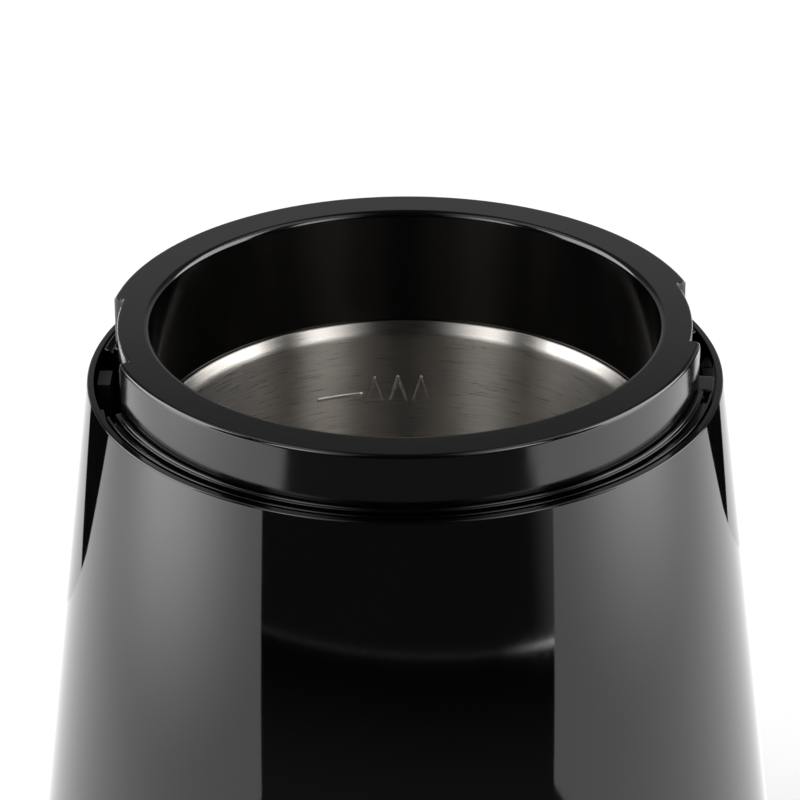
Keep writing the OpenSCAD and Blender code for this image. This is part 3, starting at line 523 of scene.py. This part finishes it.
def collar_sections():
    """Profiles all round the collar, close together where one changes to the next."""
    shapes = [rounded(span[1], 5) for span in SPANS]
    degrees = math.degrees(1 / 40.0)
    marks = []
    for i, (start, _, run, form) in enumerate(SPANS):
        for u in [-u for u in reversed(STEPS)] + list(STEPS):
            ease = (1 - (1 - abs(u)) ** 2) ** form
            share = 0.5 + 0.5 * math.copysign(ease, u)
            marks.append(((start + u * run * degrees) % 360, blended(shapes[i - 1], shapes[i], share)))
        following = (i + 1) % len(SPANS)
        end = SPANS[following][0] + (360 if following == 0 else 0)
        low, high = start + run * degrees, end - SPANS[following][2] * degrees
        count = max(2, round((high - low) / 0.5))
        for k in range(1, count):
            marks.append(((low + (high - low) * k / count) % 360, shapes[i]))
    marks.sort(key=lambda mark: mark[0])
    return [(math.radians(azimuth), profile) for azimuth, profile in marks]


add_piece("carrier_collar", *wrap(collar_sections()), "carrier_gloss", 30.0)
# The CAD carrier loses the same ring, and 0.05 mm more under the ledge
CUT_IN_R, CUT_OUT_R, CUT_Z, CUT_TOP = 30.0, 46.0, SEAT_Z - 0.05, 142.0
cut_away(
    "bowl_carrier",
    [
        (CUT_IN_R, SPIGOT_Z),
        (SPIGOT_R, SPIGOT_Z),
        (SPIGOT_R, CUT_Z),
        (CUT_OUT_R, CUT_Z),
        (CUT_OUT_R, CUT_TOP),
        (CUT_IN_R, CUT_TOP),
    ],
)


# ---------------------------------------------------------------- bowl


# Inner radius at the top and the bottom of the wall, the rolled rim, and the floor
BOWL_TOP_R, BOWL_LOW_R, BOWL_WALL_TOP = 33.07, 32.4, 121.35
RIM_TOP, RIM_OUT_R, RIM_LOW = 122.95, 34.5, 121.7
BOWL_FLOOR, SHEET, BOSS_RISE, HUB_HOLE_R = 81.0, 0.6, 1.0, 6.1


def steel_bowl():
    """Bowl pressed from sheet: rolled rim, round foot to its wall, raised middle for the hub."""
    corners = [
        (BOWL_TOP_R, BOWL_WALL_TOP, 2.0),
        (34.15, RIM_TOP, 0.25),
        (RIM_OUT_R, RIM_TOP, 0.13),
        (RIM_OUT_R, RIM_LOW, 0.2),
        (33.72, RIM_LOW, 0.05),
        (33.0, BOWL_FLOOR - SHEET, 10.6),
        (14.8, BOWL_FLOOR - SHEET, 0.8),
        (13.3, BOWL_FLOOR + BOSS_RISE - SHEET, 0.8),
        (HUB_HOLE_R, BOWL_FLOOR + BOSS_RISE - SHEET, 0.05),
        (HUB_HOLE_R, BOWL_FLOOR + BOSS_RISE, 0.05),
        (13.0, BOWL_FLOOR + BOSS_RISE, 0.8),
        (14.5, BOWL_FLOOR, 0.8),
        (BOWL_LOW_R, BOWL_FLOOR, 10.0),
    ]
    obj = add_piece("steel_bowl", *turned(rounded(corners, 10), 512), "bowl_steel")
    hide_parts("grinding_bowl")


steel_bowl()


# Radius of the marked part of the wall at one height, and its growth for each mm further up
MARK_R, MARK_Z, MARK_SLANT = 33.1, 122.43, 0.7 / 31.43


def on_bowl(along, z, proud):
    """A point on the far inner wall: mm along it from the middle, height, mm inward."""
    r = MARK_R - MARK_SLANT * (MARK_Z - z) - proud
    a = math.radians(90) - along / 33.0
    return (r * math.cos(a), r * math.sin(a), z)


# Fill level: a long dash, then three small wedges
DASH = [(-12.8, 112.1), (-6.3, 112.1)]
WEDGES = (-5.6, -2.2, 1.2)
WEDGE_LOW, WEDGE_HIGH, WEDGE_WIDTH = 110.9, 114.5, 2.4
# Section of the pressed ridge (across, proud), how it swells at each end, and how far it is sunk
RIDGE = [(-0.3, -0.02), (-0.2, 0.06), (-0.08, 0.105), (0.08, 0.105), (0.2, 0.06), (0.3, -0.02)]
RIDGE_END = ((-0.28, 0.0), (-0.18, 0.7), (0.0, 1.0))
SUNK = 0.02


def ridge(start, end):
    """Rows of points of one straight ridge with tapered ends."""
    length = math.dist(start, end)
    ux, uz = (end[0] - start[0]) / length, (end[1] - start[1]) / length
    count = max(2, int(length / 0.4))
    rows = list(RIDGE_END)
    rows += [(length * k / count, 1.0) for k in range(1, count)]
    rows += [(length - t, swell) for t, swell in reversed(RIDGE_END)]
    points = []
    for t, swell in rows:
        for across, proud in RIDGE:
            across *= 0.35 + 0.65 * swell
            proud = (proud + SUNK) * swell - SUNK
            points.append(on_bowl(start[0] + ux * t - uz * across, start[1] + uz * t + ux * across, proud))
    return points


def level_mark():
    paths = [DASH]
    for x in WEDGES:
        tip = (x + WEDGE_WIDTH / 2, WEDGE_HIGH)
        paths.append([(x, WEDGE_LOW), tip, (x + WEDGE_WIDTH, WEDGE_LOW), (x, WEDGE_LOW)])
    points, faces = [], []
    size = len(RIDGE)
    for path in paths:
        for start, end in zip(path, path[1:]):
            first = len(points)
            points += ridge(start, end)
            for a in range(first, len(points) - size):
                if (a - first) % size < size - 1:
                    faces.append((a, a + 1, a + size + 1, a + size))
    add_piece("level_mark", points, faces, "bowl_steel", 60.0)


level_mark()


# ---------------------------------------------------------------- springs


# Points along one turn, and round the wire
COIL_STEPS, WIRE_SIDES = 28, 10


def coil(low, high, axis, wire_r, turns):
    """Rows of points of a spring between two corners of its box, with closed ends."""
    middle = (low + high) / 2
    length = high[axis] - low[axis]
    mean_r = (high.x - low.x) / 2 - wire_r
    pitch = (length / 2 - 3 * wire_r) / (turns / 2 - 1)
    points = []
    for i in range(turns * COIL_STEPS + 1):
        turn = i / COIL_STEPS
        from_end = min(turn, turns - turn)
        rise = wire_r + 2 * wire_r * min(from_end, 1) + pitch * max(from_end - 1, 0)
        along = low[axis] + rise if turn < turns / 2 else high[axis] - rise
        a = math.tau * turn
        for k in range(WIRE_SIDES):
            b = math.tau * k / WIRE_SIDES
            r = mean_r + wire_r * math.cos(b)
            place = [r * math.cos(a), r * math.sin(a)]
            place.insert(axis, 0.0)
            place = Vector(place) + middle
            place[axis] = along + wire_r * math.sin(b)
            points.append(place)
    return points


def spring(node, axis, fixed_at_high_end, wire_r, turns):
    """Coil spring in place of a CAD one."""
    low, high = (Vector(corner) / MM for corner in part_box(node))
    points = coil(low, high, axis, wire_r, turns)
    faces = tube(turns * COIL_STEPS + 1, WIRE_SIDES)
    obj = add_piece(node + "_coil", points, faces, "spring_steel", 60.0)
    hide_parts(node)
    direction = Vector((0, 0, 0))
    direction[axis] = 1.0
    anchor = (low + high) / 2
    anchor[axis] = high[axis] if fixed_at_high_end else low[axis]
    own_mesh(obj)


spring("plunger_spring", 2, False, 0.25, 8)
spring("brush_spring_front", 1, False, 0.2, 5)
spring("brush_spring_rear", 1, True, 0.2, 5)


# ---------------------------------------------------------------- softened edges


def soften(node, width):
    """Rounds the sharp edges of a CAD node that shows."""
    join_corners(nodes[node])
    change = nodes[node].modifiers.new("soft_edges", "BEVEL")
    change.width = width * MM
    change.segments = 3
    change.limit_method = "ANGLE"
    change.angle_limit = math.radians(40)
    change.use_clamp_overlap = True
    even_shading(nodes[node])


SOFT_EDGES = {"interlock_plunger": 0.3, "blade": 0.12, "cord_grommet": 0.25, "rubber_feet": 0.4}
for part, edge_width in SOFT_EDGES.items():
    soften(part, edge_width)


# ---------------------------------------------------------------- stage


def combine(tree, operation, a, b=0.0):
    made = tree.nodes.new("ShaderNodeMath")
    made.operation = operation
    for i, value in enumerate((a, b)):
        if isinstance(value, bpy.types.NodeSocket):
            tree.links.new(value, made.inputs[i])
        else:
            made.inputs[i].default_value = value
    return made.outputs[0]


def ramp(tree, value, a, b, low, high):
    """Smooth step of value from low at a to high at b."""
    if a > b:
        a, b, low, high = b, a, high, low
    made = tree.nodes.new("ShaderNodeMapRange")
    made.interpolation_type = "SMOOTHSTEP"
    tree.links.new(value, made.inputs[0])
    for i, limit in enumerate((a, b, low, high), 1):
        made.inputs[i].default_value = limit
    return made.outputs[0]


def glow(name, strength):
    """Emission material for a studio card. The strength is a number, or a function of the
    node tree and the place on the card that returns a socket."""
    material = bpy.data.materials.new(name)
    material.use_nodes = True
    tree = material.node_tree
    tree.nodes.clear()
    light = tree.nodes.new("ShaderNodeEmission")
    if callable(strength):
        place = tree.nodes.new("ShaderNodeTexCoord")
        split = tree.nodes.new("ShaderNodeSeparateXYZ")
        tree.links.new(place.outputs["Object"], split.inputs[0])
        tree.links.new(strength(tree, split.outputs), light.inputs["Strength"])
    else:
        light.inputs["Strength"].default_value = strength
    out = tree.nodes.new("ShaderNodeOutputMaterial")
    tree.links.new(light.outputs[0], out.inputs["Surface"])
    return material


def card(name, corners, strength):
    """A studio card that only shows in reflections."""
    mesh = bpy.data.meshes.new(name)
    mesh.from_pydata(corners, [], [tuple(range(len(corners)))])
    mesh.materials.append(glow(name, strength))
    obj = bpy.data.objects.new(name, mesh)
    bpy.context.scene.collection.objects.link(obj)
    obj.visible_camera = False
    obj.visible_diffuse = False
    obj.visible_shadow = False
    obj.visible_transmission = False


def upright(start, end, low, high):
    """Corners of an upright card between two places on the floor."""
    return [(*start, low), (*end, low), (*end, high), (*start, high)]


def level(x, front, back, height):
    """Corners of a level card, as wide on both sides."""
    return [(-x, front, height), (x, front, height), (x, back, height), (-x, back, height)]


def sheet_glow(near, far):
    """Bright beside the object, from near to far; dimmer in front and behind."""

    def strength(tree, place):
        outward = ramp(tree, combine(tree, "ABSOLUTE", place[0]), near, far, 0.0, 1.0)
        front = ramp(tree, place[1], -0.33, -0.06, 0.15, 1.0)
        back = ramp(tree, place[1], -0.03, 0.17, 1.0, 0.0)
        peak = combine(tree, "MULTIPLY", combine(tree, "MULTIPLY", front, back), outward)
        return combine(tree, "ADD", combine(tree, "MULTIPLY", peak, 2.9), 1.5)

    return strength


def front_glow(tree, place):
    """Softbox that fades toward the middle and toward its top."""
    aside = ramp(tree, combine(tree, "ABSOLUTE", place[0]), 0.33, 0.6, 0.4, 4.5)
    return combine(tree, "MULTIPLY", aside, ramp(tree, place[2], 0.65, 0.95, 1.0, 0.45))


def wall_glow(tree, place):
    """Wall that fades toward its top."""
    return ramp(tree, place[2], 0.36, 0.43, 0.35, 0.1)


def overhead_glow(tree, place):
    """Ceiling with a dark strip along its middle."""
    return ramp(tree, combine(tree, "ABSOLUTE", place[0]), 0.1, 0.3, 0.03, 1.0)


# Middle and radius of the near edge of the paper in front of the object
PAPER_X, PAPER_Y, PAPER_R = -0.007, -0.07, 0.357


def paper_glow(tree, place):
    """A dim paper with a round near edge, which is bright at its right; and a faint glow
    on the table between it and the object."""
    across = combine(tree, "POWER", combine(tree, "SUBTRACT", place[0], PAPER_X), 2.0)
    forward = combine(tree, "POWER", combine(tree, "SUBTRACT", place[1], PAPER_Y), 2.0)
    reach = combine(tree, "SQRT", combine(tree, "ADD", across, forward))
    slant = combine(tree, "DIVIDE", place[0], combine(tree, "MULTIPLY", place[1], -1.0))
    inside = ramp(tree, reach, PAPER_R - 0.003, PAPER_R + 0.003, 0.0, 1.0)
    paper = combine(tree, "MULTIPLY", inside, ramp(tree, slant, 0.8, 1.25, 0.05, 0.7))
    starts = ramp(tree, reach, PAPER_R - 0.002, PAPER_R, 0.0, 1.0)
    stops = ramp(tree, reach, PAPER_R + 0.001, PAPER_R + 0.004, 1.0, 0.0)
    bright = ramp(tree, slant, 0.5, 1.2, 0.3, 9.0)
    edge = combine(tree, "MULTIPLY", combine(tree, "MULTIPLY", starts, stops), bright)
    near = ramp(tree, reach, 0.24, 0.35, 0.1, 0.0)
    return combine(tree, "ADD", near, combine(tree, "ADD", paper, edge))


def make_floor():
    """Plain pale paper, seen from above only, so that the underside can be looked at."""
    half = 6.0
    mesh = bpy.data.meshes.new("floor")
    mesh.from_pydata(level(half, -half, half, 0.0), [], [(0, 1, 2, 3)])
    g = Graph("floor_paper")
    tone = g.shades(g.noise(g.place, 3.0, 2.0), (0.88, 0.88, 0.88), (0.9, 0.9, 0.9))
    g.set(Base_Color=tone, Roughness=0.9, Specular_IOR_Level=0.1)
    below = g.node("ShaderNodeNewGeometry").outputs["Backfacing"]
    clear = g.node("ShaderNodeBsdfTransparent").outputs[0]
    mixed = g.node("ShaderNodeMixShader", {0: below, 1: g.shader.outputs[0], 2: clear}).outputs[0]
    g.links.new(mixed, g.nodes["Material Output"].inputs["Surface"])
    mesh.materials.append(g.material)
    obj = bpy.data.objects.new("floor", mesh)
    bpy.context.scene.collection.objects.link(obj)
    obj.visible_glossy = False


def make_world():
    """Even light for matt surfaces; mirrors see almost nothing but the studio cards."""
    world = bpy.data.worlds.new("studio")
    bpy.context.scene.world = world
    world.use_nodes = True
    tree = world.node_tree
    tree.nodes.clear()
    new, link = tree.nodes.new, tree.links.new
    mix = new("ShaderNodeMixShader")
    link(new("ShaderNodeLightPath").outputs["Is Glossy Ray"], mix.inputs[0])
    for i, strength in ((1, 1.2), (2, 0.008)):
        light = new("ShaderNodeBackground")
        light.inputs["Strength"].default_value = strength
        link(light.outputs[0], mix.inputs[i])
    link(mix.outputs[0], new("ShaderNodeOutputWorld").inputs["Surface"])


def make_lamp():
    """Soft key light from the front left, left out of reflections."""
    place, target = Vector((-0.7, -0.5, 1.2)), Vector((0, 0, 0.1))
    data = bpy.data.lights.new("key", "AREA")
    data.shape = "RECTANGLE"
    data.size = data.size_y = 0.8
    data.energy = 8
    lamp = bpy.data.objects.new("key", data)
    lamp.location = place
    lamp.rotation_mode = "QUATERNION"
    lamp.rotation_quaternion = (target - place).to_track_quat("-Z", "Y")
    lamp.visible_glossy = False
    bpy.context.scene.collection.objects.link(lamp)


# For each side: its sign; the slanted near edge of the white sheet on the floor, going
# outward (x, y); its far edge beside the object; and where its glow starts and ends
SIDES = {
    "left": (-1, [(0.04, -0.09), (0.2, -0.19), (0.205, -0.222), (1.1, -0.827)], 0.173, (0.25, 0.44)),
    "right": (1, [(0.04, -0.1), (0.214, -0.188), (0.212, -0.224), (1.1, -0.766)], 0.193, (0.28, 0.5)),
}
# The cards on the floor lie this far above it, the sheets on top
PAPER_Z, SHEET_Z = 0.0001, 0.0002


def make_stage():
    make_floor()
    make_world()
    for word, (side, near_edge, back, glow_run) in SIDES.items():
        outline = near_edge + [(1.1, back + 0.16), (0.2, back), (0.04, back)]
        card("sheet_" + word, [(side * x, y, SHEET_Z) for x, y in outline], sheet_glow(*glow_run))
        card("box_" + word, upright((side * 0.9, -0.25), (side * 0.9, 0.9), 0.1, 1.15), 5.0)
        card("front_box_" + word, upright((side * 0.31, -0.85), (side * 0.71, -0.55), 0.3, 1.2), front_glow)
        card("low_glow_" + word, upright((side * 0.2, 0.6), (side * 0.55, 0.6), 0.0, 0.3), 4.0)
    card("back_wall", upright((-0.8, 0.5), (0.8, 0.5), 0.1, 0.9), wall_glow)
    card("table_behind", level(0.176, 0.17, 1.6, PAPER_Z), 1.25)
    card("front_paper", level(0.6, -1.4, -0.2, PAPER_Z), paper_glow)
    card("overhead", level(0.6, -0.5, 0.9, 1.0), overhead_glow)
    make_lamp()


make_stage()
bpy.context.scene.view_settings.view_transform = "Standard"
